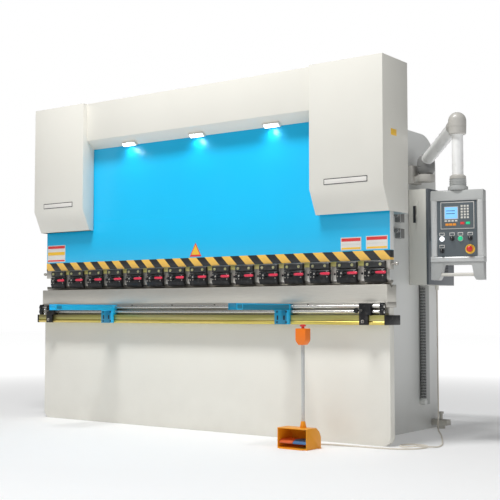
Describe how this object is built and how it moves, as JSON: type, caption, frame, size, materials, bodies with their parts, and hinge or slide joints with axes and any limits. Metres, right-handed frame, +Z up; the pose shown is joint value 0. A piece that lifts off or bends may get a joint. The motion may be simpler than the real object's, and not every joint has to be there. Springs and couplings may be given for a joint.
{
  "type": "press brake",
  "caption": "Hydraulic press brake: C-frame, sliding ram with clamped tooling over a grooved die, sheet supports, swing-arm control panel, back gauge and foot pedal.",
  "frame": {"origin": "on the floor under the centre of the bending line, in the bed plate's lower face", "axes": "+X along the bending line to the operator's right, +Y away from the operator, +Z up"},
  "size_m": [3.7417, 1.922, 2.5083],
  "materials": {
    "cream_paint": "smooth semi-gloss enamel",
    "grey_paint": "smooth semi-gloss enamel",
    "blue_paint": "glossy enamel",
    "bare_steel": "ground and oiled",
    "bright_steel": "hard chromed",
    "yellow_plated": "yellow passivated",
    "black_steel": "black oxide",
    "dark_door": "fine-textured enamel",
    "panel_grey": "satin",
    "red_grip": "glossy",
    "red_button": "glossy",
    "green_lens": "glossy",
    "black_plastic": "matt",
    "orange_plastic": "satin",
    "paddle_orange": "satin",
    "paddle_blue": "satin",
    "lamp": "satin housing with white lens",
    "cord_sheath": "matt sheath"
  },
  "bodies": {
    "machine": {"left_side_frame": "grey_paint", "right_side_frame": "grey_paint", "bed_plate": "cream_paint", "bed_table": "bare_steel", "lower_die": "bare_steel", "front_rail": "yellow_plated", "guide_rods": "bright_steel", "crown_panel": "cream_paint", "left_cover": "cream_paint", "right_cover": "cream_paint", "work_lights": "lamp", "frame_ties": "grey_paint", "oil_tank": "grey_paint", "pump_unit": "black_steel", "cylinders": "black_steel", "ram_gibs": "bare_steel", "levelling_feet": "bare_steel", "cable_duct": "grey_paint", "electrical_cabinet": "cream_paint", "arm_bracket": "panel_grey", "gauge_rails": "bare_steel", "pedal_housing": "orange_plastic", "pedal_post": "orange_plastic", "pedal_cord": "cord_sheath"},
    "ram": {"ram_plate": "blue_paint", "tool_rail": "yellow_plated", "tool_clamps": "black_steel", "upper_punch": "bare_steel", "piston_rods": "bright_steel"},
    "gauge": {"gauge_beam": "grey_paint"},
    "left_finger": {"left_finger": "bare_steel"},
    "right_finger": {"right_finger": "bare_steel"},
    "cabinet_door": {"cabinet_door": "dark_door"},
    "swing_arm": {"swing_arm": "cream_paint"},
    "control_panel": {"control_panel": "panel_grey"},
    "green_button": {"green_button": "green_lens"},
    "stop_button": {"stop_button": "red_button"},
    "selector_a": {"selector_a": "black_plastic"},
    "selector_b": {"selector_b": "black_plastic"},
    "selector_c": {"selector_c": "black_plastic"},
    "left_support_arm": {"left_support_arm": "blue_paint"},
    "right_support_arm": {"right_support_arm": "blue_paint"},
    "left_paddle": {"left_paddle": "paddle_orange"},
    "right_paddle": {"right_paddle": "paddle_blue"},
    "pedal_stop": {"pedal_stop": "red_button"},
    "lever_01": {"lever_01": "red_grip"},
    "lever_02": {"lever_02": "red_grip"},
    "lever_03": {"lever_03": "red_grip"},
    "lever_04": {"lever_04": "red_grip"},
    "lever_05": {"lever_05": "red_grip"},
    "lever_06": {"lever_06": "red_grip"},
    "lever_07": {"lever_07": "red_grip"},
    "lever_08": {"lever_08": "red_grip"},
    "lever_09": {"lever_09": "red_grip"},
    "lever_10": {"lever_10": "red_grip"},
    "lever_11": {"lever_11": "red_grip"},
    "lever_12": {"lever_12": "red_grip"},
    "lever_13": {"lever_13": "red_grip"},
    "lever_14": {"lever_14": "red_grip"},
    "lever_15": {"lever_15": "red_grip"}
  },
  "joints": [
    {"name": "ram_stroke", "type": "slide", "parent": "machine", "child": "ram", "axis": [0, 0, 1], "range_m": [0, 0.1]},
    {"name": "gauge_travel", "type": "slide", "parent": "machine", "child": "gauge", "axis": [0, 1, 0], "range_m": [0, 0.35]},
    {"name": "left_finger_slide", "type": "slide", "parent": "gauge", "child": "left_finger", "axis": [1, 0, 0], "range_m": [-0.25, 0.25]},
    {"name": "right_finger_slide", "type": "slide", "parent": "gauge", "child": "right_finger", "axis": [1, 0, 0], "range_m": [-0.25, 0.25]},
    {"name": "door_hinge", "type": "hinge", "parent": "machine", "child": "cabinet_door", "pos_m": [1.471, 1.186, 1.39], "axis": [0, 0, 1], "range_deg": [0, 110]},
    {"name": "arm_swing", "type": "hinge", "parent": "machine", "child": "swing_arm", "pos_m": [1.44, 0.82, 1.9], "axis": [0, 0, 1], "range_deg": [-8, 60]},
    {"name": "panel_swivel", "type": "hinge", "parent": "swing_arm", "child": "control_panel", "pos_m": [1.915, 0.33, 1.7], "axis": [0, 0, 1], "range_deg": [-30, 60]},
    {"name": "green_press", "type": "slide", "parent": "control_panel", "child": "green_button", "axis": [-0.2419, 0.9703, 0], "range_m": [0, 0.004], "stiffness_N_per_m": 400, "springref_m": -0.001},
    {"name": "stop_press", "type": "slide", "parent": "control_panel", "child": "stop_button", "axis": [-0.2419, 0.9703, 0], "range_m": [0, 0.005], "stiffness_N_per_m": 800, "springref_m": -0.001},
    {"name": "selector_a_turn", "type": "hinge", "parent": "control_panel", "child": "selector_a", "pos_m": [1.89823, 0.26913, 1.329], "axis": [-0.2419, 0.9703, 0], "range_deg": [-45, 45]},
    {"name": "selector_b_turn", "type": "hinge", "parent": "control_panel", "child": "selector_b", "pos_m": [2.01175, 0.29744, 1.329], "axis": [-0.2419, 0.9703, 0], "range_deg": [-45, 45]},
    {"name": "selector_c_turn", "type": "hinge", "parent": "control_panel", "child": "selector_c", "pos_m": [1.83419, 0.25317, 1.25], "axis": [-0.2419, 0.9703, 0], "range_deg": [-45, 45]},
    {"name": "left_arm_slide", "type": "slide", "parent": "machine", "child": "left_support_arm", "axis": [1, 0, 0], "range_m": [-0.5, 0.5]},
    {"name": "right_arm_slide", "type": "slide", "parent": "machine", "child": "right_support_arm", "axis": [1, 0, 0], "range_m": [-0.5, 0.5]},
    {"name": "left_paddle_press", "type": "hinge", "parent": "machine", "child": "left_paddle", "pos_m": [1.1, -0.365, 0.042], "axis": [1, 0, 0], "range_deg": [0, 10], "stiffness_Nm_per_rad": 3, "springref_deg": -17.19},
    {"name": "right_paddle_press", "type": "hinge", "parent": "machine", "child": "right_paddle", "pos_m": [1.21, -0.365, 0.042], "axis": [1, 0, 0], "range_deg": [0, 10], "stiffness_Nm_per_rad": 3, "springref_deg": -17.19},
    {"name": "pedal_stop_press", "type": "slide", "parent": "machine", "child": "pedal_stop", "axis": [0, 0, -1], "range_m": [0, 0.006], "stiffness_N_per_m": 600, "springref_m": -0.002},
    {"name": "lever_01_turn", "type": "hinge", "parent": "ram", "child": "lever_01", "pos_m": [-1.462, -0.06, 1.11], "axis": [0, 1, 0], "range_deg": [-90, 0]},
    {"name": "lever_02_turn", "type": "hinge", "parent": "ram", "child": "lever_02", "pos_m": [-1.252, -0.06, 1.11], "axis": [0, 1, 0], "range_deg": [-90, 0]},
    {"name": "lever_03_turn", "type": "hinge", "parent": "ram", "child": "lever_03", "pos_m": [-1.042, -0.06, 1.11], "axis": [0, 1, 0], "range_deg": [-90, 0]},
    {"name": "lever_04_turn", "type": "hinge", "parent": "ram", "child": "lever_04", "pos_m": [-0.832, -0.06, 1.11], "axis": [0, 1, 0], "range_deg": [-90, 0]},
    {"name": "lever_05_turn", "type": "hinge", "parent": "ram", "child": "lever_05", "pos_m": [-0.622, -0.06, 1.11], "axis": [0, 1, 0], "range_deg": [-90, 0]},
    {"name": "lever_06_turn", "type": "hinge", "parent": "ram", "child": "lever_06", "pos_m": [-0.412, -0.06, 1.11], "axis": [0, 1, 0], "range_deg": [-90, 0]},
    {"name": "lever_07_turn", "type": "hinge", "parent": "ram", "child": "lever_07", "pos_m": [-0.202, -0.06, 1.11], "axis": [0, 1, 0], "range_deg": [-90, 0]},
    {"name": "lever_08_turn", "type": "hinge", "parent": "ram", "child": "lever_08", "pos_m": [0.008, -0.06, 1.11], "axis": [0, 1, 0], "range_deg": [-90, 0]},
    {"name": "lever_09_turn", "type": "hinge", "parent": "ram", "child": "lever_09", "pos_m": [0.218, -0.06, 1.11], "axis": [0, 1, 0], "range_deg": [-90, 0]},
    {"name": "lever_10_turn", "type": "hinge", "parent": "ram", "child": "lever_10", "pos_m": [0.428, -0.06, 1.11], "axis": [0, 1, 0], "range_deg": [-90, 0]},
    {"name": "lever_11_turn", "type": "hinge", "parent": "ram", "child": "lever_11", "pos_m": [0.638, -0.06, 1.11], "axis": [0, 1, 0], "range_deg": [-90, 0]},
    {"name": "lever_12_turn", "type": "hinge", "parent": "ram", "child": "lever_12", "pos_m": [0.848, -0.06, 1.11], "axis": [0, 1, 0], "range_deg": [-90, 0]},
    {"name": "lever_13_turn", "type": "hinge", "parent": "ram", "child": "lever_13", "pos_m": [1.058, -0.06, 1.11], "axis": [0, 1, 0], "range_deg": [-90, 0]},
    {"name": "lever_14_turn", "type": "hinge", "parent": "ram", "child": "lever_14", "pos_m": [1.268, -0.06, 1.11], "axis": [0, 1, 0], "range_deg": [-90, 0]},
    {"name": "lever_15_turn", "type": "hinge", "parent": "ram", "child": "lever_15", "pos_m": [1.478, -0.06, 1.11], "axis": [0, 1, 0], "range_deg": [-90, 0]}
  ]
}
